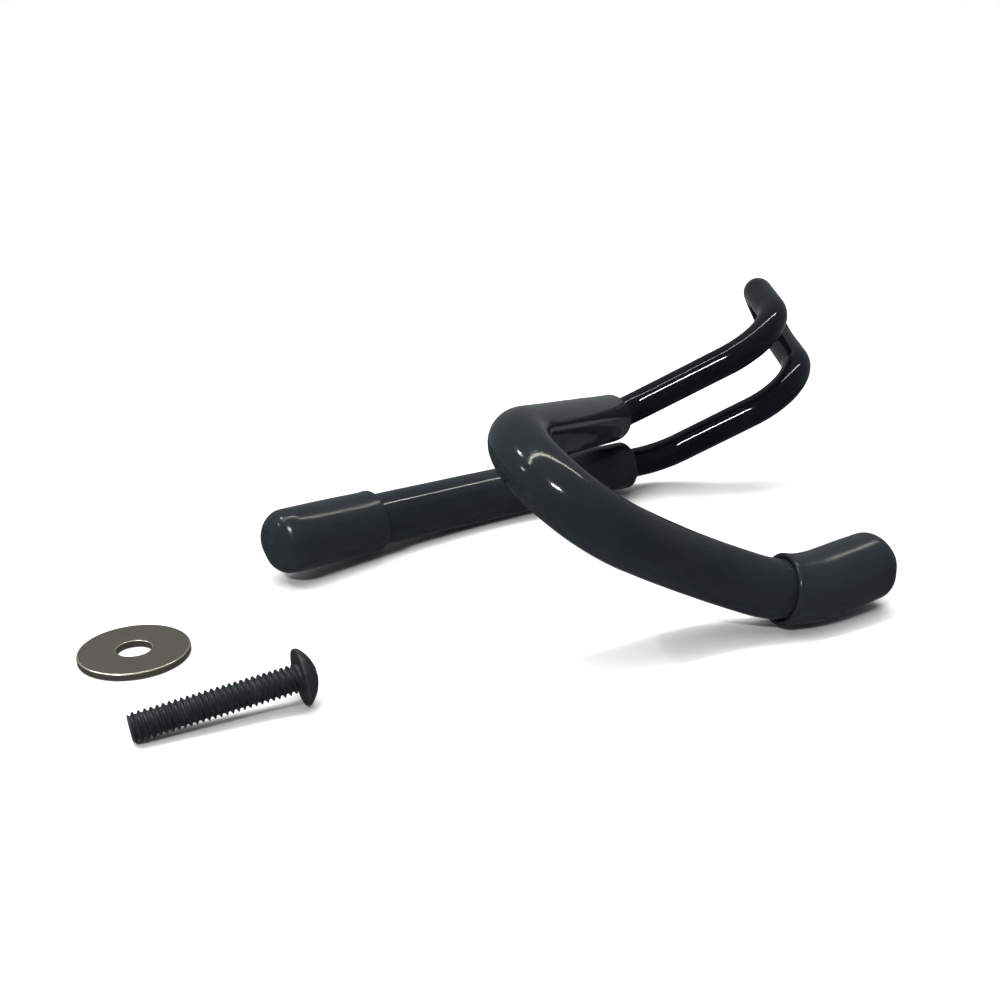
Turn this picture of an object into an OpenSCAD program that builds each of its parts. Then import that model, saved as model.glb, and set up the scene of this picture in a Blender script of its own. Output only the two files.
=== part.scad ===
// Wall hanger yoke for a guitar: one bent steel rod with soft sleeves and end caps on its arms,
// laid down on a table beside the screw and the fender washer that clamp it to a wall.
// Millimetres. +Z up, table top at Z = 0, origin on the table in the middle of the whole layout.
// The rod is built the way it is bent: straight runs joined by round bends, each bend turning
// towards a stated side.

/* [Rod] */
// Rod diameter over its coating
rod_d = 9.3; // [9:0.1:10]
// Distance between the two parallel stems, centre to centre
stem_pitch = 19.8; // [18:0.1:22]
// Height of the loop's bend centre over the corner bends
loop_height = 37; // [30:0.5:45]
// Bend radius of the corner between loop and stem
corner_r = 20.5; // [18:0.5:24]

/* [Upper arm] */
// Stem from the corner bend to the first bend
upper_run_1 = 28.2; // [24:0.1:32]
// First bend radius
upper_r_1 = 12; // [11:0.5:14]
// First bend angle
upper_angle_1 = 81.5; // [78:0.5:85]
// Side the first bend turns to
upper_side_1 = 117.7; // [114:0.1:121]
// Long run across the yoke
upper_run_2 = 84.5; // [82:0.5:92]
// Hairpin bend radius
upper_r_2 = 21.4; // [20:0.1:23]
// Hairpin bend angle
upper_angle_2 = 139.5; // [136:0.5:142]
// Side the hairpin turns to
upper_side_2 = 54.2; // [52:0.1:57]
// Short run after the hairpin
upper_run_3 = 6; // [2:0.5:10]
// Shallow bend radius
upper_r_3 = 68; // [60:1:80]
// Shallow bend angle
upper_angle_3 = 23.3; // [20:0.1:26]
// Side the shallow bend turns to
upper_side_3 = -159.2; // [-163:0.1:-155]
// Short run before the tip bend
upper_run_4 = 1; // [1:0.5:5]
// Tip bend radius
upper_r_4 = 36.3; // [33:0.1:40]
// Tip bend angle
upper_angle_4 = 35; // [30:0.5:38]
// Side the tip bend turns to
upper_side_4 = 91.7; // [88:0.1:96]
// Straight tip
upper_run_5 = 19.9; // [18:0.1:24]

/* [Lower arm] */
// Stem from the corner bend to the first bend
lower_run_1 = 23.8; // [20:0.1:28]
// First bend radius
lower_r_1 = 23; // [20:0.5:26]
// First bend angle
lower_angle_1 = 37; // [34:0.5:40]
// Side the first bend turns to
lower_side_1 = 137; // [134:0.5:140]
// Short run after the first bend
lower_run_2 = 4.6; // [2:0.1:8]
// Radius of the long bow of the arm
lower_r_2 = 300; // [280:5:330]
// Angle of the long bow
lower_angle_2 = 24.1; // [22:0.1:26]
// Side the bow turns to
lower_side_2 = 112.2; // [109:0.1:115]

/* [Sleeves and caps] */
// Sleeve outside diameter
sleeve_d = 14.8; // [14:0.1:15.6]
// Distance of the upper sleeve's edge from the corner bend
upper_sleeve_at = 40.5; // [38:0.5:43]
// Distance of the lower sleeve's edge from the corner bend
lower_sleeve_at = 43.4; // [39.5:0.1:46]
// Cap outside diameter
cap_d = 17.4; // [17:0.1:18]
// Cap length over its closed end
cap_length = 33.4; // [31:0.2:36]
// Thickness of the cap's closed end
cap_end = 4; // [3.5:0.1:6]
// Rounding of the cap's closed end
cap_rounding = 5.5; // [4:0.1:6]

/* [Hardware] */
// Washer outside diameter
washer_d = 25.4; // [24:0.1:27]
// Washer hole diameter
washer_hole_d = 8; // [7:0.1:9]
// Washer thickness
washer_t = 1.7; // [1.2:0.1:2.2]
// Screw thread outside diameter
thread_d = 6.35; // [6:0.05:6.5]
// Screw length under the head
screw_length = 35.4; // [30:0.1:50]
// Screw head diameter
head_d = 12.5; // [11:0.1:14]
// Screw head height
head_h = 3.8; // [3.2:0.1:4.5]
// Hexagon socket across flats
socket_af = 4; // [3.5:0.1:4.5]

/* [Hidden] */
$fn = 96;

coating_black = [0.06, 0.065, 0.07];
sleeve_black = [0.1, 0.11, 0.12];
cap_black = [0.13, 0.14, 0.15];
oxide_black = [0.16, 0.16, 0.17];
steel_grey = [0.7, 0.69, 0.66];

// each row: straight run, then the bend's radius, angle and side
upper_arm = [
    [upper_run_1, upper_r_1, upper_angle_1, upper_side_1],
    [upper_run_2, upper_r_2, upper_angle_2, upper_side_2],
    [upper_run_3, upper_r_3, upper_angle_3, upper_side_3],
    [upper_run_4, upper_r_4, upper_angle_4, upper_side_4],
    [upper_run_5, 0, 0, 0]
];
lower_arm = [
    [lower_run_1, lower_r_1, lower_angle_1, lower_side_1],
    [lower_run_2, lower_r_2, lower_angle_2, lower_side_2]
];

rod_r = rod_d / 2;
stem_x = stem_pitch / 2;
sleeve_r = sleeve_d / 2;
cap_r = cap_d / 2;
// a bent length is this much thinner than a straight one, and a straight laps into it
bend_thinning = 0.02;
lap = 0.05;
// radial clearance of sleeve on rod and of cap on sleeve
soft_fit = 0.05;
// rounded leading edge of a sleeve, and flared mouth of a cap
sleeve_edge = 2.3;
sleeve_edge_r = 2.1;
flare_length = 2.4;
flare = 0.15;
// straight closed length at a cap's end
cap_nose = 6.5;
nub_r = 1;
nub_h = 0.4;
// how the hanger lies on the table
lie = [-75.12, 60.22, 14.97];
lie_at = [90.5, 53.28, 42.74];
washer_at = [-86.5, -63.82, 0];
washer_edge = 0.25;
screw_at = [-44.6, -86.32];
screw_yaw = 26.1;
chamfer = 0.5;
chamfer_depth = 0.35;
head_r = head_d / 2;
thread_r = thread_d / 2;
head_rim = 0.9;
socket_depth = 2.2;
// the screw rests on its head's rim and on the last full thread
screw_tilt = atan((head_r - thread_r) / (screw_length - chamfer));
rest_gap = 0.02;

function shift(v) = [[1, 0, 0, v[0]], [0, 1, 0, v[1]], [0, 0, 1, v[2]], [0, 0, 0, 1]];
function about_z(a) = [[cos(a), -sin(a), 0, 0], [sin(a), cos(a), 0, 0], [0, 0, 1, 0], [0, 0, 0, 1]];
function about_y(a) = [[cos(a), 0, sin(a), 0], [0, 1, 0, 0], [-sin(a), 0, cos(a), 0], [0, 0, 0, 1]];
// the move along a bend of radius r through angle a, turned to a side
function bend(r, a, side) =
    about_z(side) * shift([r, 0, 0]) * about_y(a) * shift([-r, 0, 0]) * about_z(-side);
function arc_length(row) = row[1] * row[2] * PI / 180;
function row_length(row) = row[0] + arc_length(row);
// distance along the arm, and frame, at which a row starts
function row_start(arm, i) = i == 0 ? 0 : row_start(arm, i - 1) + row_length(arm[i - 1]);
function row_frame(arm, i) =
    i == 0
        ? shift([0, 0, 0])
        : row_frame(arm, i - 1) * shift([0, 0, arm[i - 1][0]])
            * bend(arm[i - 1][1], arm[i - 1][2], arm[i - 1][3]);
function arm_length(arm) = row_start(arm, len(arm) - 1) + row_length(arm[len(arm) - 1]);
// frame at any distance s along an arm
function row_at(arm, s, i = 0) =
    i == len(arm) - 1 || s <= row_start(arm, i + 1) ? i : row_at(arm, s, i + 1);
function frame_in_row(arm, s, i) =
    let (past = s - row_start(arm, i) - arm[i][0])
    past <= 0 || arm[i][1] == 0
        ? row_frame(arm, i) * shift([0, 0, arm[i][0] + past])
        : row_frame(arm, i) * shift([0, 0, arm[i][0]])
            * bend(arm[i][1], past / arm[i][1] * 180 / PI, arm[i][3]);
function frame_at(arm, s) = frame_in_row(arm, s, row_at(arm, s));

// ring or disc profile between two radii
module section(outer, inner) {
    difference() {
        circle(r = outer);
        if (inner > 0)
            circle(r = inner);
    }
}

// straight length between two distances along its own axis
module straight(from, to, outer, inner) {
    translate([0, 0, from])
        linear_extrude(height = to - from)
            section(outer, inner);
}

// bent length between two distances along its own arc
module bent(r, side, from, to, outer, inner) {
    rotate([0, 0, side])
        translate([r, 0, 0])
            rotate([0, from / r * 180 / PI, 0])
                rotate([90, 0, 180])
                    rotate_extrude(angle = (to - from) / r * 180 / PI)
                        translate([r, 0])
                            section(outer - bend_thinning, inner > 0 ? inner + bend_thinning : 0);
}

// round length of an arm between two distances from its corner bend
module along(arm, from, to, outer, inner = 0) {
    for (i = [0:len(arm) - 1]) {
        run = arm[i][0];
        start = row_start(arm, i);
        run_from = max(from - start, i == 0 ? 0 : -lap);
        run_to = min(to - start, arm[i][1] > 0 ? run + lap : run);
        arc_from = max(from - start - run, 0);
        arc_to = min(to - start - run, arc_length(arm[i]));
        multmatrix(row_frame(arm, i)) {
            if (run_to > run_from)
                straight(run_from, run_to, outer, inner);
            if (arc_to > arc_from)
                translate([0, 0, run])
                    bent(arm[i][1], arm[i][3], arc_from, arc_to, outer, inner);
        }
    }
}

// a stem's frame: +Z along the stem, +X across the two stems
module on_stem(x) {
    translate([x, corner_r, 0])
        rotate([-90, 0, 0])
            children();
}

module upper() {
    on_stem(-stem_x)
        children();
}

module lower() {
    on_stem(stem_x)
        children();
}

// half turn of the loop over the two legs
module loop_top() {
    translate([0, 0, loop_height])
        rotate([90, 0, 0])
            rotate_extrude(angle = 180)
                translate([stem_x, 0])
                    circle(r = rod_r - bend_thinning);
}

// leg under the loop, and the corner bend that ends at the stem
module leg() {
    translate([stem_x, 0, corner_r - lap])
        cylinder(h = loop_height - corner_r + 2 * lap, r = rod_r);
    translate([stem_x, corner_r, corner_r])
        rotate([-90, 0, -90])
            rotate_extrude(angle = 90)
                translate([corner_r, 0])
                    circle(r = rod_r - bend_thinning);
}

// the stem starts with a short lap back into the corner bend
module stem_lap() {
    translate([0, 0, -lap])
        cylinder(h = 2 * lap, r = rod_r);
}

// everything of the hanger is modelled upright and then laid down
module lay_down() {
    translate(lie_at)
        rotate(lie)
            children();
}

module hanger_rod() {
    color(coating_black)
        lay_down() {
            loop_top();
            leg();
            mirror([1, 0, 0])
                leg();
            upper() {
                stem_lap();
                along(upper_arm, 0, arm_length(upper_arm) - cap_end - soft_fit, rod_r);
            }
            lower() {
                stem_lap();
                along(lower_arm, 0, arm_length(lower_arm) - cap_end - soft_fit, rod_r);
            }
        }
}

// tube with a rounded leading edge
module sleeve(arm, from) {
    bore = rod_r + soft_fit;
    edge_outer = sleeve_r + bend_thinning;
    along(arm, from + sleeve_edge, arm_length(arm) - cap_end - soft_fit, sleeve_r, bore);
    multmatrix(frame_at(arm, from + sleeve_edge))
        rotate_extrude()
            difference() {
                translate([bore, -sleeve_edge])
                    square([edge_outer - bore, sleeve_edge + lap]);
                translate([edge_outer - sleeve_edge_r, -sleeve_edge])
                    difference() {
                        translate([0, -lap])
                            square([sleeve_edge_r + lap, sleeve_edge_r + lap]);
                        translate([0, sleeve_edge_r])
                            circle(r = sleeve_edge_r);
                    }
            }
}

module upper_arm_sleeve() {
    color(sleeve_black)
        lay_down()
            upper()
                sleeve(upper_arm, upper_sleeve_at);
}

module lower_arm_sleeve() {
    color(sleeve_black)
        lay_down()
            lower()
                sleeve(lower_arm, lower_sleeve_at);
}

// closed end of a cap: rounded shoulder, blind bore behind it, moulding nub at the tip
module cap_closed_end(bore) {
    outer = cap_r + bend_thinning;
    rotate_extrude()
        difference() {
            union() {
                translate([0, -lap])
                    square([outer, cap_nose - cap_rounding + lap]);
                square([outer - cap_rounding, cap_nose]);
                translate([outer - cap_rounding, cap_nose - cap_rounding])
                    intersection() {
                        circle(r = cap_rounding);
                        square(cap_rounding);
                    }
                translate([0, cap_nose - lap])
                    square([nub_r, nub_h + lap]);
            }
            translate([0, -2 * lap])
                square([bore, cap_nose - cap_end + 2 * lap]);
        }
}

// flared mouth of a cap, rounded at its rim
module cap_mouth(bore) {
    outer = cap_r + flare;
    rim = outer - bore;
    rotate_extrude() {
        translate([bore, 0])
            square([rim, flare_length - rim / 2 + lap]);
        translate([bore + rim / 2, flare_length - rim / 2])
            circle(r = rim / 2);
    }
}

module cap(arm) {
    bore = sleeve_r + bend_thinning + soft_fit;
    nose_at = arm_length(arm) - cap_nose;
    mouth_at = arm_length(arm) - cap_length + flare_length;
    along(arm, mouth_at, nose_at, cap_r, bore);
    multmatrix(frame_at(arm, nose_at))
        cap_closed_end(bore);
    multmatrix(frame_at(arm, mouth_at))
        mirror([0, 0, 1])
            translate([0, 0, -lap])
                cap_mouth(bore);
}

module upper_arm_cap() {
    color(cap_black)
        lay_down()
            upper()
                cap(upper_arm);
}

module lower_arm_cap() {
    color(cap_black)
        lay_down()
            lower()
                cap(lower_arm);
}

module fender_washer() {
    inner = washer_hole_d / 2;
    outer = washer_d / 2;
    color(steel_grey)
        translate(washer_at)
            rotate_extrude()
                polygon([
                    [inner, 0],
                    [outer - washer_edge, 0],
                    [outer, washer_edge],
                    [outer, washer_t - washer_edge],
                    [outer - washer_edge, washer_t],
                    [inner, washer_t]
                ]);
}

// domed head on a low rim, with a hexagon socket
module screw_head() {
    dome_h = head_h - head_rim;
    dome_r = (head_r * head_r + dome_h * dome_h) / (2 * dome_h);
    difference() {
        union() {
            cylinder(h = head_rim, r = head_r);
            intersection() {
                translate([0, 0, head_h - dome_r])
                    sphere(r = dome_r);
                translate([0, 0, head_rim])
                    cylinder(h = dome_h + lap, r = head_r);
            }
        }
        translate([0, 0, head_h - socket_depth])
            cylinder(h = socket_depth + lap, r = socket_af / sqrt(3), $fn = 6);
    }
}

// plain shank of the thread's outside diameter with a chamfered tip
module screw_shank() {
    translate([0, 0, chamfer - screw_length])
        cylinder(h = screw_length - chamfer + lap, r = thread_r);
    translate([0, 0, -screw_length])
        cylinder(h = chamfer, r1 = thread_r - chamfer_depth, r2 = thread_r);
}

module mounting_screw() {
    color(oxide_black)
        translate([screw_at[0], screw_at[1], head_r * cos(screw_tilt) + rest_gap])
            rotate([0, 90 - screw_tilt, screw_yaw]) {
                screw_head();
                screw_shank();
            }
}

hanger_rod();
upper_arm_sleeve();
lower_arm_sleeve();
upper_arm_cap();
lower_arm_cap();
fender_washer();
mounting_screw();
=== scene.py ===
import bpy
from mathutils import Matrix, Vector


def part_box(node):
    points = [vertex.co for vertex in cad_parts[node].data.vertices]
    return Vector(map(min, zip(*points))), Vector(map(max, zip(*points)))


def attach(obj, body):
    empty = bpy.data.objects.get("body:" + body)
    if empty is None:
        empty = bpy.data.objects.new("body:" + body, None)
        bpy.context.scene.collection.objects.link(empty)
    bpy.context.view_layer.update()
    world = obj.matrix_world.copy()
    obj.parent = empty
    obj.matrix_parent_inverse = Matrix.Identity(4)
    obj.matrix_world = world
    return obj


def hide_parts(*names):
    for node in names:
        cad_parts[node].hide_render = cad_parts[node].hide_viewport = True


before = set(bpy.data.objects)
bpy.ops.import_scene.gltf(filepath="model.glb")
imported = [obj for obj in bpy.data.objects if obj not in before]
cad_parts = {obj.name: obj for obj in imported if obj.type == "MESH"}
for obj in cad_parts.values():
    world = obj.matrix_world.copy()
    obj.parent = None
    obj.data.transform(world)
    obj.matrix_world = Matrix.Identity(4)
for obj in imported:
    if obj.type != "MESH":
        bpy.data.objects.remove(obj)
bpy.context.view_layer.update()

import math

import bpy
import numpy as np
from mathutils import Matrix, Vector

MM = 0.001
FINE = 2

# mesh fineness: ring spacing in mm, points round a ring
ROD_STEP, ROD_SIDES = 1.4 / FINE, 40 * FINE
VINYL_STEP, VINYL_SIDES = 1.6 / FINE, 48 * FINE
WASHER_SIDES = 160
SCREW_SIDES = 96

# ---------------------------------------------------------------- the hanger's own sizes, in mm
ROD_R = 4.65
SLEEVE_R = 7.4
CAP_R = 8.7
STEM_X = 9.9
LOOP_HEIGHT = 37.0
CORNER_R = 20.5
# each row: straight run, then the bend's radius, its angle and the side it turns to, in degrees
UPPER_ARM = [
    (28.2, 12.0, 81.5, 117.7),
    (84.5, 21.4, 139.5, 54.2),
    (6.0, 68.0, 23.3, -159.2),
    (1.0, 36.3, 35.0, 91.7),
    (19.9, 0.0, 0.0, 0.0),
]
LOWER_ARM = [(23.8, 23.0, 37.0, 137.0), (4.6, 300.0, 24.1, 112.2)]
UPPER_SLEEVE_AT = 40.5
LOWER_SLEEVE_AT = 43.4
SLEEVE_EDGE = 2.1
CAP_LENGTH = 33.4
CAP_ROUNDING = 5.5
CAP_LIP_R = 0.62
CAP_RIM_R = CAP_R + 0.1
# length of the cap's loose end, and how deep it is pressed in
CAP_LOOSE = 9.0
CAP_DENT = 0.32
WASHER_HOLE_R = 4.0
# how far the rod goes on inside the sleeves, and the sleeves inside the caps
HIDDEN_ROD = 12.0
HIDDEN_SLEEVE = 6.0
# how the hanger lies on the table
LIE_ANGLES = (-75.12, 60.22, 14.97)
LIE_AT = (90.5, 53.28, 42.74)
# the blob of coating: its place round the corner bend, its side, and its size
BLOB_ANGLE = 69
BLOB_SIDE = (-0.5, 0.1, 1.0)
BLOB_WIDTH, BLOB_LENGTH, BLOB_HEIGHT = 0.17, 1.5, 0.75


def euler_matrix(angles):
    ax, ay, az = (math.radians(a) for a in angles)
    m = Matrix.Rotation(az, 4, "Z") @ Matrix.Rotation(ay, 4, "Y") @ Matrix.Rotation(ax, 4, "X")
    return np.array(m)


def shift(x, y, z):
    m = np.eye(4)
    m[:3, 3] = (x, y, z)
    return m


def about(axis, degrees):
    return np.array(Matrix.Rotation(math.radians(degrees), 4, axis))


def bend(r, angle, side):
    return about("Z", side) @ shift(r, 0, 0) @ about("Y", angle) @ shift(-r, 0, 0) @ about("Z", -side)


LIE = shift(*LIE_AT) @ euler_matrix(LIE_ANGLES)


def stem_frame(x):
    return LIE @ shift(x, CORNER_R, 0) @ about("X", -90)


def arm_length(rows):
    return sum(run + r * math.radians(a) for run, r, a, _ in rows)


def arm_frame(rows, s):
    """Frame on an arm's centre line at distance s from its corner bend; +Z runs along the arm."""
    m = np.eye(4)
    for run, r, angle, side in rows:
        if s <= run or r == 0:
            return m @ shift(0, 0, s)
        arc = r * math.radians(angle)
        if s <= run + arc:
            return m @ shift(0, 0, run) @ bend(r, math.degrees((s - run) / r), side)
        m = m @ shift(0, 0, run) @ bend(r, angle, side)
        s -= run + arc
    return m @ shift(0, 0, s)


# ---------------------------------------------------------------- meshes
def make_mesh(name, verts, faces):
    mesh = bpy.data.meshes.new(name)
    mesh.from_pydata([tuple(v) for v in verts], [], faces)
    mesh.validate()
    mesh.polygons.foreach_set("use_smooth", [True] * len(mesh.polygons))
    obj = bpy.data.objects.new(name, mesh)
    bpy.context.scene.collection.objects.link(obj)
    return obj


def ring_faces(first, second, sides):
    """Quads between two rings of points, given the index of each ring's first point."""
    faces = []
    for j in range(sides):
        k = (j + 1) % sides
        faces.append((first + j, first + k, second + k, second + j))
    return faces


def waviness(s, phi, seed):
    """Slow unevenness in -1..1, repeatable, periodic in phi."""
    total = 0.0
    for k, (a, b) in enumerate(((0.11, 1), (0.23, 2), (0.37, 1), (0.61, 3))):
        total = total + np.sin(a * s + b * phi + seed * (1.7 + k) + k * k) / (1.0 + 0.6 * k)
    return total / 2.4


def tube(name, frames, radii, distances, sides, wobble=0.0, seed=0.0, bump=None, close=(False, False)):
    """Skin over frames (mm) with a radius for each ring; bump(distance, angle) is added to the radius."""
    phi = np.linspace(0, 2 * math.pi, sides, endpoint=False)
    verts = []
    for m, r, s in zip(frames, radii, distances):
        rr = r + (wobble * waviness(s, phi, seed) if r > 1.0 else 0.0 * phi)
        if bump is not None:
            rr = rr + bump(s, phi)
        ring = np.stack([rr * np.cos(phi), rr * np.sin(phi), 0 * phi, 1 + 0 * phi])
        verts.append((m @ ring)[:3].T * MM)
    rings = len(verts)
    verts = list(np.vstack(verts))
    faces = []
    for i in range(rings - 1):
        faces += ring_faces(i * sides, (i + 1) * sides, sides)
    for end, wanted in ((0, close[0]), (rings - 1, close[1])):
        if wanted:
            centre = len(verts)
            verts.append(np.mean(verts[end * sides:(end + 1) * sides], axis=0))
            for j in range(sides):
                k = (j + 1) % sides
                pair = (end * sides + j, end * sides + k)
                faces.append((centre,) + (pair[::-1] if end == 0 else pair))
    return make_mesh(name, verts, faces)


def stations(start, stop, step):
    return np.linspace(start, stop, max(2, int(math.ceil((stop - start) / step)) + 1))


def corner_frame(x, angle):
    return LIE @ shift(x, CORNER_R, CORNER_R) @ about("X", -angle) @ shift(0, 0, -CORNER_R)


def rod_frames(step):
    """Frames along the bar from inside the upper sleeve, round the loop, to inside the lower sleeve."""
    frames = []
    upper = stem_frame(-STEM_X)
    lower = stem_frame(STEM_X)
    turned = about("Y", 180)
    for s in stations(0, UPPER_SLEEVE_AT + HIDDEN_ROD, step)[::-1]:
        frames.append(upper @ arm_frame(UPPER_ARM, s) @ turned)
    for x in (-STEM_X, STEM_X):
        part = []
        # corner bend, from the stem to the leg
        for a in stations(0, 90, math.degrees(step / CORNER_R))[1:]:
            part.append(corner_frame(x, a) @ about("X", -90) @ turned)
        for z in stations(CORNER_R, LOOP_HEIGHT, step)[1:]:
            part.append(LIE @ shift(x, 0, z))
        if x < 0:
            frames += part
            for a in stations(0, 180, math.degrees(step / STEM_X))[1:]:
                frames.append(LIE @ shift(0, 0, LOOP_HEIGHT) @ about("Y", a) @ shift(-STEM_X, 0, 0))
        else:
            frames += [m @ turned for m in part[::-1]][1:]
    for s in stations(0, LOWER_SLEEVE_AT + HIDDEN_ROD, step):
        frames.append(lower @ arm_frame(LOWER_ARM, s))
    return frames


def untwist(frames):
    """Keeps each frame's place and direction, and turns it so that rings don't twist."""
    out = []
    ref = None
    for m in frames:
        z = m[:3, 2] / np.linalg.norm(m[:3, 2])
        x = m[:3, 0] if ref is None else ref
        x = x - z * (x @ z)
        x = x / np.linalg.norm(x)
        n = np.eye(4)
        n[:3, 0], n[:3, 1], n[:3, 2], n[:3, 3] = x, np.cross(z, x), z, m[:3, 3]
        out.append(n)
        ref = x
    return out


def travelled(frames):
    """Distance along the frames' places, in mm."""
    p = np.array([m[:3, 3] for m in frames])
    return np.r_[0, np.cumsum(np.linalg.norm(np.diff(p, axis=0), axis=1))]


def rod_piece():
    frames = untwist(rod_frames(ROD_STEP))
    s = travelled(frames)
    # a blob of coating that dried on the inside of the lower stem's corner bend
    target = corner_frame(STEM_X, BLOB_ANGLE)[:3, 3]
    at = int(np.argmin([np.linalg.norm(m[:3, 3] - target) for m in frames]))
    up = frames[at][:3, :3].T @ np.array(BLOB_SIDE)
    blob_phi = math.atan2(up[1], up[0])

    def blob(d, phi):
        across = (np.abs((phi - blob_phi + math.pi) % (2 * math.pi) - math.pi)) / BLOB_WIDTH
        along = (d - s[at]) / BLOB_LENGTH
        return BLOB_HEIGHT * np.exp(-across ** 2 - along ** 2)

    return tube("rod_coated", frames, [ROD_R - 0.02] * len(frames), s, sides=ROD_SIDES,
                wobble=0.025, seed=0.4, bump=blob, close=(True, True))


def sleeve_piece(name, rows, x, start, seed):
    base = stem_frame(x)
    end = arm_length(rows) - CAP_LENGTH + HIDDEN_SLEEVE
    edge = SLEEVE_EDGE
    # (distance along the arm, radius): out of the bore, round the edge, then along the outside
    pts = [(start + edge, ROD_R + 0.05), (start + 0.6, ROD_R + 0.06), (start + 0.08, ROD_R + 0.12)]
    for a in np.linspace(90, 0, 12):
        t = math.radians(a)
        pts.append((start + edge * (1 - math.sin(t)), SLEEVE_R - edge + edge * math.cos(t)))
    pts += [(s, SLEEVE_R) for s in stations(start + edge, end, VINYL_STEP)[1:]]
    frames = untwist([base @ arm_frame(rows, s) for s, _ in pts])
    return tube(name, frames, [r for _, r in pts], [s for s, _ in pts], sides=VINYL_SIDES,
                wobble=0.035, seed=seed)


def cap_piece(name, rows, x, seed, dent):
    base = stem_frame(x)
    total = arm_length(rows)
    mouth = total - CAP_LENGTH
    lip, rim = CAP_LIP_R, CAP_RIM_R
    # (distance along the arm, radius): inside the mouth, over the thick lip, then along the outside
    pts = [(mouth + 4.0, SLEEVE_R + 0.02), (mouth + 1.2, SLEEVE_R + 0.03), (mouth + lip, rim - 2 * lip)]
    for a in np.linspace(180, 0, 9):
        t = math.radians(a)
        pts.append((mouth + lip - lip * math.sin(t), rim - lip + lip * math.cos(t)))
    pts += [(mouth + 1.4, rim - 0.02), (mouth + 2.2, CAP_R + 0.03), (mouth + 3.2, CAP_R)]
    # the closed end: a rounded shoulder, a flat middle and the moulding nub
    shoulder = total - CAP_ROUNDING
    pts += [(s, CAP_R) for s in stations(mouth + 3.2, shoulder, VINYL_STEP)[1:]]
    for a in np.linspace(0, 82, 12)[1:]:
        t = math.radians(a)
        along = shoulder + (CAP_ROUNDING - 0.35) * math.sin(t)
        pts.append((along, CAP_R - CAP_ROUNDING * (1 - math.cos(t))))
    last_s, last_r = pts[-1]
    for k, q in enumerate((0.75, 0.5, 0.36)):
        pts.append((last_s + 0.12 * (k + 1), last_r * q))
    pts += [(last_s + 0.42, 0.95), (last_s + 0.62, 0.8), (last_s + 0.7, 0.35)]
    frames = untwist([base @ arm_frame(rows, s) for s, _ in pts])

    def slack(s, phi):
        """The loose end of the cap, pressed in a little on some sides."""
        near_end = 1.0 / (1.0 + math.exp(-(s - (total - CAP_LOOSE)) / 1.4))
        two_sides = np.maximum(0.0, np.cos(2 * (phi - dent))) ** 2
        three_sides = np.maximum(0.0, np.cos(3 * phi + dent)) ** 3
        flat = two_sides + 0.5 * three_sides
        return -CAP_DENT * near_end * flat if s < last_s else 0.0 * phi

    return tube(name, frames, [r for _, r in pts], [s for s, _ in pts], sides=VINYL_SIDES,
                wobble=0.07, seed=seed, bump=slack, close=(False, True))


def lathe(name, profile, axis_frame, sides):
    """Skin of revolution: profile of (r, z) in mm about the frame's Z."""
    frames = [axis_frame @ shift(0, 0, z) for _, z in profile]
    return tube(name, frames, [r for r, _ in profile], [0.0] * len(profile), sides=sides)


def rounded(r0, z0, r1, z1, steps, radius_first=True):
    """Quarter-round points from (r0, z0) to (r1, z1), that set out along the radius or along z."""
    out = []
    for k in range(steps + 1):
        t = 0.5 * math.pi * k / steps
        if radius_first:
            out.append((r0 + (r1 - r0) * math.sin(t), z0 + (z1 - z0) * (1 - math.cos(t))))
        else:
            out.append((r0 + (r1 - r0) * (1 - math.cos(t)), z0 + (z1 - z0) * math.sin(t)))
    return out


def washer_piece():
    low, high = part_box("fender_washer")
    cx, cy = (low[0] + high[0]) / 2 / MM, (low[1] + high[1]) / 2 / MM
    outer, t = (high[0] - low[0]) / 2 / MM, (high[2] - low[2]) / MM
    inner = WASHER_HOLE_R
    # edge radii: the hole's top and bottom, then the rim's bottom and its rolled top
    hole_top, hole_low, rim_low, rim_top = 0.22, 0.12, 0.2, 0.38
    profile = rounded(inner + hole_top, t, inner, t - hole_top, 4)
    profile += rounded(inner, hole_low, inner + hole_low, 0.0, 3, radius_first=False)
    profile += [(outer - 0.4, 0.0)]
    profile += rounded(outer - rim_low, 0.0, outer, rim_low, 4)
    profile += rounded(outer, t - rim_top, outer - rim_top, t, 6, radius_first=False)
    profile += [(outer - 0.8, t), (inner + 0.9, t), (inner + hole_top, t)]
    return lathe("washer_stamped", profile, shift(cx, cy, 0.0), WASHER_SIDES)


# ---------------------------------------------------------------- screw
SCREW_AT = (-44.6, -86.32)
SCREW_YAW = 26.1
SCREW_LENGTH = 35.4
THREAD_R = 3.175
THREAD_DEPTH = 0.5
PITCH = 1.24
HEAD_R = 6.25
HEAD_H = 3.8
HEAD_RIM = 0.9
SOCKET_AF = 4.0
SOCKET_DEPTH = 2.2
SCREW_CHAMFER = 0.5
REST_GAP = 0.02
SCREW_TILT = math.degrees(math.atan((HEAD_R - THREAD_R) / (SCREW_LENGTH - SCREW_CHAMFER)))


def screw_frame():
    """The screw rests on its head's rim and its last thread; +Z points out of the head."""
    z = HEAD_R * math.cos(math.radians(SCREW_TILT)) + REST_GAP
    return shift(SCREW_AT[0], SCREW_AT[1], z) @ about("Z", SCREW_YAW) @ about("Y", 90 - SCREW_TILT)


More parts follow.
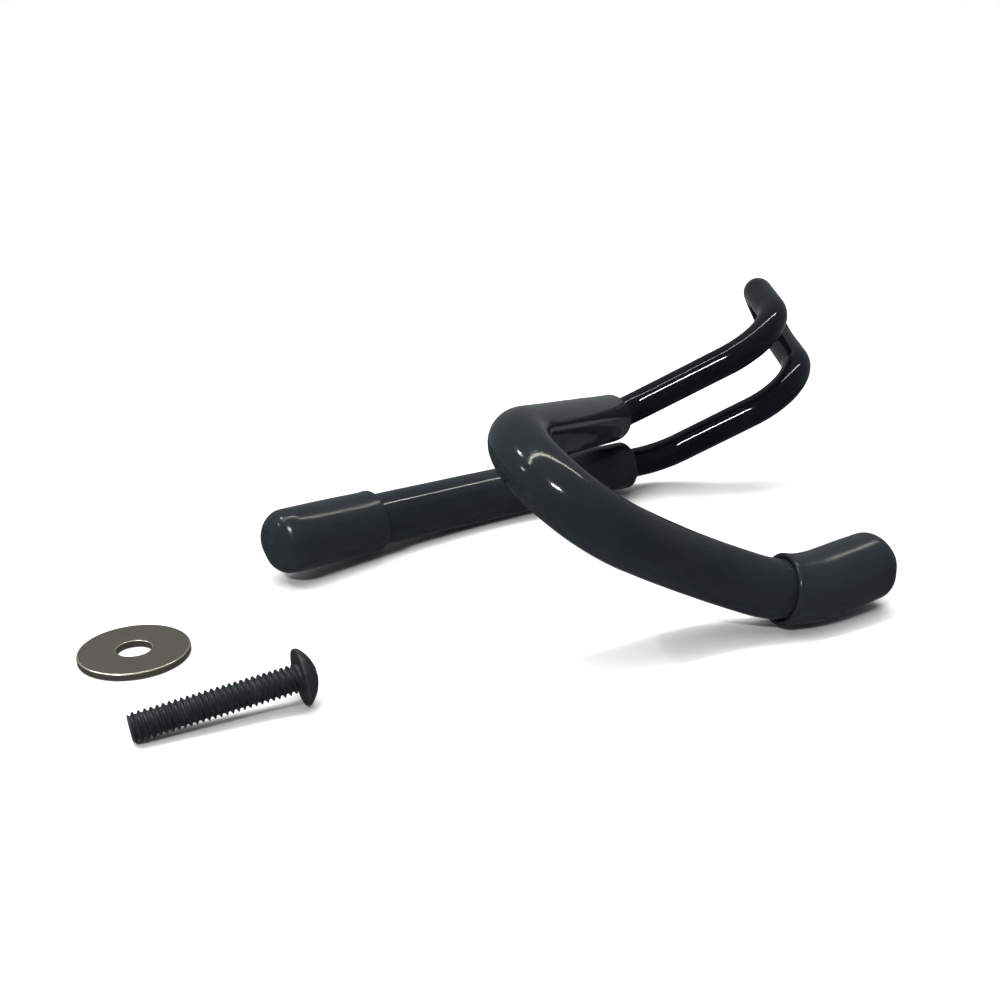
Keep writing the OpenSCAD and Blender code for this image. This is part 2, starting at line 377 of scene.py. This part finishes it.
def thread_skin():
    """Helical 60 degree thread, running out at the chamfered tip and under the head."""
    per_turn = SCREW_SIDES // 2
    root = THREAD_R - THREAD_DEPTH * PITCH
    # one pitch of the thread: offset in pitches, height as a share of the depth
    profile = [(-0.5, 0.0), (-0.36, 0.0), (-0.2, 0.52), (-0.075, 0.97), (0.0, 1.0), (0.075, 0.97),
               (0.2, 0.52), (0.36, 0.0), (0.5, 0.0)]
    steps = int((SCREW_LENGTH / PITCH + 1.0) * per_turn)
    verts, faces = [], []
    width = len(profile)
    for k in range(steps + 1):
        theta = 2 * math.pi * k / per_turn
        middle = -SCREW_LENGTH - 0.5 * PITCH + PITCH * k / per_turn
        for offset, height in profile:
            z = min(0.05, max(-SCREW_LENGTH, middle + offset * PITCH))
            r = root + (THREAD_R - root) * height
            from_tip = z + SCREW_LENGTH
            r = min(r, THREAD_R - 0.35 + from_tip * 0.7)
            under_head = max(0.0, 1.0 + (z + 0.1) / 0.9)
            r = max(r, root + (THREAD_R - 0.12 - root) * min(1.0, under_head))
            verts.append((r * math.cos(theta), r * math.sin(theta), z))
    for k in range(steps):
        for j in range(width - 1):
            a = k * width + j
            faces.append((a, a + 1, a + width + 1, a + width))
    return verts, faces


def ring_skin(rings, flip=False):
    """Points and quads over rings of (r, z), one pair for each of SCREW_SIDES directions."""
    verts, faces = [], []
    for ring in rings:
        for j, (r, z) in enumerate(ring):
            a = 2 * math.pi * j / SCREW_SIDES
            verts.append((r * math.cos(a), r * math.sin(a), z))
    for i in range(len(rings) - 1):
        first, second = i * SCREW_SIDES, (i + 1) * SCREW_SIDES
        faces += ring_faces(second, first, SCREW_SIDES) if flip else ring_faces(first, second, SCREW_SIDES)
    return verts, faces


def head_skin():
    """Low rim, dome and hexagon socket, from under the head to the socket's floor."""
    sides = SCREW_SIDES
    dome_h = HEAD_H - HEAD_RIM
    dome_r = (HEAD_R ** 2 + dome_h ** 2) / (2 * dome_h)
    centre_z = HEAD_H - dome_r
    socket_rim = SOCKET_AF / math.sqrt(3) + 0.22

    def dome_z(r):
        return centre_z + math.sqrt(dome_r ** 2 - r * r)

    rings = [[(1.0, 0.02)] * sides, [(HEAD_R - 0.35, 0.0)] * sides]
    edge = 0.25
    for r, z in rounded(HEAD_R - edge, 0.0, HEAD_R, edge, 4):
        rings.append([(r, z)] * sides)
    rings.append([(HEAD_R, HEAD_RIM - edge)] * sides)
    rings.append([(HEAD_R - 0.05, HEAD_RIM - 0.02)] * sides)
    for r in np.linspace(HEAD_R - 0.3, socket_rim, 16):
        rings.append([(r, dome_z(r) - 0.02)] * sides)

    def hexagon(scale):
        out = []
        for j in range(sides):
            a = (2 * math.pi * j / sides + math.pi / 6) % (math.pi / 3) - math.pi / 6
            out.append(scale * SOCKET_AF / 2 / math.cos(a))
        return out

    rings.append([(r, HEAD_H - 0.28) for r in hexagon(1.0)])
    rings.append([(r, HEAD_H - 0.45) for r in hexagon(0.985)])
    rings.append([(r, HEAD_H - SOCKET_DEPTH + 0.1) for r in hexagon(0.98)])
    rings.append([(r, HEAD_H - SOCKET_DEPTH) for r in hexagon(0.9)])
    rings.append([(0.05, HEAD_H - SOCKET_DEPTH - 0.35)] * sides)
    return ring_skin(rings)


def tip_skin():
    tip_r = THREAD_R - 0.42
    profile = [(tip_r + 0.12, 0.2), (tip_r, 0.0), (tip_r - 0.2, 0.03), (0.9, 0.12), (0.02, 0.16)]
    return ring_skin([[(r, z - SCREW_LENGTH)] * SCREW_SIDES for r, z in profile], flip=True)


def screw_piece():
    m = screw_frame()
    verts, faces = [], []
    for part_verts, part_faces in (thread_skin(), head_skin(), tip_skin()):
        first = len(verts)
        verts += part_verts
        faces += [tuple(first + i for i in f) for f in part_faces]
    v = np.c_[np.array(verts), np.ones(len(verts))]
    placed = (m @ v.T)[:3].T * MM
    obj = make_mesh("screw_threaded", placed, faces)
    bpy.context.view_layer.objects.active = obj
    obj.select_set(True)
    bpy.ops.object.shade_smooth_by_angle(angle=math.radians(28))
    obj.select_set(False)
    return obj


# ---------------------------------------------------------------- materials
COATING_IOR = 1.36


class Kit:
    """A node tree with its helpers; scales are in cycles per metre."""

    def __init__(self, tree):
        self.tree = tree
        self.links = tree.links

    def node(self, kind):
        return self.tree.nodes.new(kind)

    def place(self):
        """Coordinates that move with the piece."""
        return self.node("ShaderNodeTexCoord").outputs["Object"]

    def noise(self, vector, scale, detail=3.0, rough=0.55):
        n = self.node("ShaderNodeTexNoise")
        n.inputs["Scale"].default_value = scale
        n.inputs["Detail"].default_value = detail
        n.inputs["Roughness"].default_value = rough
        self.links.new(vector, n.inputs["Vector"])
        return n.outputs["Fac"]

    def speckle(self, vector, scale, size):
        v = self.node("ShaderNodeTexVoronoi")
        v.inputs["Scale"].default_value = scale
        v.inputs["Randomness"].default_value = 1.0
        self.links.new(vector, v.inputs["Vector"])
        return self.remap(v.outputs["Distance"], size, size * 0.4, 0.0, 1.0)

    def remap(self, value, low, high, to_low, to_high):
        r = self.node("ShaderNodeMapRange")
        for key, v in zip(("From Min", "From Max", "To Min", "To Max"), (low, high, to_low, to_high)):
            r.inputs[key].default_value = v
        self.links.new(value, r.inputs["Value"])
        return r.outputs["Result"]

    def mix(self, factor, a, b, blend="MIX"):
        """Mixes two colours; a factor or a colour may be a value or a socket."""
        m = self.node("ShaderNodeMix")
        m.data_type = "RGBA"
        m.blend_type = blend
        for key, value in (("Factor", factor), ("A", a), ("B", b)):
            if isinstance(value, tuple):
                m.inputs[key].default_value = (*value, 1)
            elif isinstance(value, float):
                m.inputs[key].default_value = value
            else:
                self.links.new(value, m.inputs[key])
        return m.outputs["Result"]

    def math(self, op, a, b):
        m = self.node("ShaderNodeMath")
        m.operation = op
        for i, v in enumerate((a, b)):
            if isinstance(v, float):
                m.inputs[i].default_value = v
            else:
                self.links.new(v, m.inputs[i])
        return m.outputs[0]


class Material(Kit):
    """A new material, built on its Principled shader."""

    def __init__(self, name):
        self.mat = bpy.data.materials.new(name)
        self.mat.use_nodes = True
        super().__init__(self.mat.node_tree)
        self.shader = self.tree.nodes["Principled BSDF"]

    def set(self, **sockets):
        """Sets or links the shader's sockets; base_color stands for Base Color."""
        names = {"base_color": "Base Color", "roughness": "Roughness", "metallic": "Metallic", "ior": "IOR",
                 "specular": "Specular IOR Level"}
        for key, value in sockets.items():
            socket = self.shader.inputs[names[key]]
            if isinstance(value, float):
                socket.default_value = value
            else:
                self.links.new(value, socket)

    def bump(self, *layers):
        """layers: (height socket, distance in metres, strength)"""
        normal = None
        for height, distance, strength in layers:
            b = self.node("ShaderNodeBump")
            b.inputs["Distance"].default_value = distance
            b.inputs["Strength"].default_value = strength
            self.links.new(height, b.inputs["Height"])
            if normal is not None:
                self.links.new(normal, b.inputs["Normal"])
            normal = b.outputs["Normal"]
        self.links.new(normal, self.shader.inputs["Normal"])


def coated_metal():
    """Gloss powder coat: near black, slight orange peel, faint dust and rubbed patches."""
    m = Material("gloss_powder_coat")
    at = m.place()
    cloud = m.noise(at, 45, 4)
    peel = m.noise(at, 620, 2)
    dust = m.speckle(at, 420, 0.1)
    tone = m.remap(cloud, 0.35, 0.7, 0, 1)
    m.set(base_color=m.mix(tone, (0.0022, 0.0036, 0.005), (0.0045, 0.0062, 0.0078)),
          roughness=m.remap(cloud, 0.3, 0.75, 0.05, 0.11), ior=COATING_IOR)
    m.bump((peel, 0.00006, 0.35), (dust, 0.00003, 0.5))
    return m.mat


def soft_vinyl(name, dark, light, rough_low, rough_high, grain):
    """Soft vinyl: satin skin with a fine grain, slow tone changes and a few scuffs."""
    m = Material(name)
    at = m.place()
    cloud = m.noise(at, 38, 5)
    fine = m.noise(at, 1900, 3)
    slow = m.noise(at, 160, 3)
    scuff = m.remap(m.noise(at, 260, 8, 0.75), 0.62, 0.72, 0.0, 1.0)
    tone = m.math("ADD", m.remap(cloud, 0.3, 0.7, 0, 0.75), m.math("MULTIPLY", scuff, 0.25))
    rough = m.math("ADD", m.remap(cloud, 0.3, 0.7, rough_low, rough_high), m.math("MULTIPLY", scuff, 0.05))
    m.set(base_color=m.mix(tone, dark, light), roughness=rough, ior=COATING_IOR)
    m.bump((slow, 0.0001, 0.3), (fine, 0.00003, grain))
    return m.mat


def stainless():
    """Stamped stainless: matt rolled faces with fine straight grain, and a painted highlight on the rounded
    edges, set by the slope of the surface.
    """
    m = Material("stainless_steel")
    at = m.place()
    stretch = m.node("ShaderNodeMapping")
    stretch.inputs["Scale"].default_value = (1.0, 14.0, 1.0)
    stretch.inputs["Rotation"].default_value = (0, 0, math.radians(24))
    m.links.new(at, stretch.inputs["Vector"])
    grain = m.noise(stretch.outputs["Vector"], 260, 5)
    cloud = m.noise(at, 120, 5)
    pits = m.noise(at, 2600, 2)
    split = m.node("ShaderNodeSeparateXYZ")
    m.links.new(m.node("ShaderNodeNewGeometry").outputs["Normal"], split.inputs["Vector"])
    # 1 on the flat faces, 0 on the edges; then 1 on the upright sides
    level = m.math("ABSOLUTE", split.outputs["Z"], 0.0)
    face = m.remap(level, 0.93, 0.999, 0.0, 1.0)
    side = m.remap(level, 0.15, 0.45, 1.0, 0.0)
    # painted highlight and shade by slope: the rounded edges get the lightest colour, the upright sides a
    # middle grey and the flat faces the darkest
    tone = m.mix(face, m.mix(side, (0.8, 0.77, 0.68), (0.35, 0.33, 0.285)), (0.195, 0.187, 0.168))
    mottle = m.mix(cloud, (0.86, 0.86, 0.86), (1.08, 1.07, 1.05))
    m.set(base_color=m.mix(1.0, tone, mottle, "MULTIPLY"), metallic=0.92,
          roughness=m.remap(face, 0, 1, 0.24, 0.5))
    m.bump((grain, 0.00004, 0.25), (pits, 0.00003, 0.25))
    return m.mat


def black_oxide():
    """Black oxide on steel: dark satin with worn, slightly brighter high spots."""
    m = Material("black_oxide_steel")
    at = m.place()
    cloud = m.noise(at, 300, 6, 0.6)
    fine = m.noise(at, 2400, 3)
    worn = m.remap(m.node("ShaderNodeNewGeometry").outputs["Pointiness"], 0.52, 0.62, 0.0, 0.55)
    patch = m.math("ADD", worn, m.remap(cloud, 0.5, 0.8, 0.0, 0.3))
    m.set(base_color=m.mix(patch, (0.021, 0.0255, 0.0295), (0.095, 0.096, 0.094)), metallic=0.35,
          roughness=m.remap(cloud, 0.3, 0.7, 0.34, 0.5))
    m.bump((fine, 0.00003, 0.35))
    return m.mat


def paper_floor():
    m = Material("pale_floor")
    tone = m.noise(m.place(), 3, 2)
    m.set(base_color=m.mix(tone, (0.86, 0.86, 0.86), (0.89, 0.89, 0.89)), roughness=0.9, specular=0.1)
    return m.mat


def grey_card():
    m = Material("grey_card")
    tone = m.noise(m.place(), 12, 2)
    m.set(base_color=m.mix(tone, (0.38, 0.38, 0.37), (0.46, 0.46, 0.45)), roughness=0.9)
    return m.mat


def dress(obj, mat):
    obj.data.materials.clear()
    obj.data.materials.append(mat)


# ---------------------------------------------------------------- pieces
rod_mat = coated_metal()
sleeve_mat = soft_vinyl("satin_vinyl_sleeve", (0.0105, 0.0135, 0.016), (0.0155, 0.019, 0.0215),
                        rough_low=0.06, rough_high=0.14, grain=0.15)
cap_mat = soft_vinyl("satin_vinyl_cap", (0.0125, 0.016, 0.019), (0.018, 0.022, 0.025),
                     rough_low=0.14, rough_high=0.26, grain=0.35)
steel_mat = stainless()
oxide_mat = black_oxide()

made = [
    (rod_piece(), "hanger", "coated_rod", "hanger_rod", rod_mat),
    (sleeve_piece("upper_sleeve", UPPER_ARM, -STEM_X, UPPER_SLEEVE_AT, seed=1.3),
     "hanger", "vinyl_sleeve", "upper_arm_sleeve", sleeve_mat),
    (sleeve_piece("lower_sleeve", LOWER_ARM, STEM_X, LOWER_SLEEVE_AT, seed=2.9),
     "hanger", "vinyl_sleeve", "lower_arm_sleeve", sleeve_mat),
    (cap_piece("upper_cap", UPPER_ARM, -STEM_X, seed=4.1, dent=0.9),
     "hanger", "vinyl_cap", "upper_arm_cap", cap_mat),
    (cap_piece("lower_cap", LOWER_ARM, STEM_X, seed=5.6, dent=2.2),
     "hanger", "vinyl_cap", "lower_arm_cap", cap_mat),
    (washer_piece(), "washer", "stainless", "fender_washer", steel_mat),
    (screw_piece(), "screw", "black_oxide", "mounting_screw", oxide_mat),
]
for piece, body, slot, node, mat in made:
    dress(piece, mat)
    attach(piece, body)
    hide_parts(node)


# ---------------------------------------------------------------- floor, light, camera
def sweep_floor(name, half, front, back, radius, top):
    """A pale sheet that lies flat under the pieces and curves up behind them."""
    profile = [(front, 0.0), (-1.0, 0.0), (1.0, 0.0)]
    for k in range(25):
        t = 0.5 * math.pi * k / 24
        profile.append((back + radius * math.sin(t), radius * (1 - math.cos(t))))
    profile.append((back + radius, top))
    verts = [(x, y, z) for y, z in profile for x in (-half, half)]
    faces = [(2 * i, 2 * i + 1, 2 * i + 3, 2 * i + 2) for i in range(len(profile) - 1)]
    return make_mesh(name, verts, faces)


def flat_sheet(name, x0, x1, y0, y1):
    return make_mesh(name, [(x0, y0, 0), (x1, y0, 0), (x1, y1, 0), (x0, y1, 0)], [(0, 1, 2, 3)])


sweep = sweep_floor("sweep", half=5.0, front=-2.0, back=1.6, radius=1.2, top=3.5)
sweep.visible_glossy = False
dress(sweep, paper_floor())
# grey card under the pieces, seen only in their reflections
card = flat_sheet("card", x0=-0.26, x1=0.26, y0=-0.3, y1=0.17)
card.location = (0, 0, -0.0002)
dress(card, grey_card())
card.visible_camera = False
card.visible_diffuse = False
card.visible_shadow = False


def towards(azimuth, elevation, distance):
    """A point seen from the pieces; azimuth from +Y towards +X, both in degrees."""
    a, e = math.radians(azimuth), math.radians(elevation)
    flat = distance * math.cos(e)
    return (flat * math.sin(a), flat * math.cos(a), distance * math.sin(e))


def area_light(name, location, target, size, size_y, power, colour=(1, 1, 1), turn=0.0, mirrored=True):
    data = bpy.data.lights.new(name, "AREA")
    data.shape = "RECTANGLE"
    data.size = size
    data.size_y = size_y
    data.energy = power
    data.color = colour
    obj = bpy.data.objects.new(name, data)
    obj.location = location
    aim = (Vector(target) - Vector(location)).to_track_quat("-Z", "Y").to_matrix().to_4x4()
    obj.rotation_euler = (aim @ Matrix.Rotation(math.radians(turn), 4, "Z")).to_euler()
    obj.visible_glossy = mirrored
    bpy.context.scene.collection.objects.link(obj)


# soft light that the gloss doesn't mirror
area_light("overhead", (-0.1, 0.1, 1.7), (0, 0.05, 0), 2.0, 2.0, 27.0, mirrored=False)
area_light("backdrop_wash", (0, 0.6, 2.6), (0, 2.6, 0.9), 3.0, 0.8, 62.0, mirrored=False)
# a long tube overhead and three small lamps that it does
area_light("tube", (-0.16, 0.2, 1.5), (-0.16, 0.2, 0), 2.7, 0.03, 15.0, (1.0, 0.99, 0.86), turn=27.0)
LAMP_AIM, LAMP_DISTANCE = (0, 0, 0.02), 1.5
area_light("lamp_left", towards(-84, 47, LAMP_DISTANCE), LAMP_AIM, 0.12, 0.05, 4.0)
area_light("lamp_behind", towards(-154, 41, LAMP_DISTANCE), LAMP_AIM, 0.26, 0.05, 9.0)
area_light("lamp_low", towards(-102, 25, LAMP_DISTANCE), LAMP_AIM, 0.04, 0.04, 1.0)

# a room that is dim on the camera's side and paler behind the pieces
world = bpy.data.worlds.new("studio")
bpy.context.scene.world = world
world.use_nodes = True
room = Kit(world.node_tree)
background = world.node_tree.nodes["Background"]
background.inputs["Strength"].default_value = 1.0
parts = room.node("ShaderNodeSeparateXYZ")
room.links.new(room.node("ShaderNodeTexCoord").outputs["Generated"], parts.inputs["Vector"])
depth = room.remap(parts.outputs["Y"], -0.45, 0.25, 0.0, 1.0)
room.links.new(room.mix(depth, (0.1, 0.11, 0.115), (0.2, 0.21, 0.215)), background.inputs["Color"])

# the photograph's camera: where it stands, and how far it looks down
CAMERA_AT = (-0.002154, -0.311947, 0.128428)
CAMERA_DOWN = 20.015
camera_data = bpy.data.cameras.new("camera")
camera_data.sensor_width = 36.0
camera_data.lens = 43.2
camera_data.clip_start = 0.01
camera = bpy.data.objects.new("camera", camera_data)
camera.location = CAMERA_AT
camera.rotation_euler = (math.radians(90 - CAMERA_DOWN), 0, 0)
bpy.context.scene.collection.objects.link(camera)
bpy.context.scene.camera = camera
bpy.context.scene.view_settings.view_transform = "Standard"
bpy.context.scene.view_settings.look = "None"
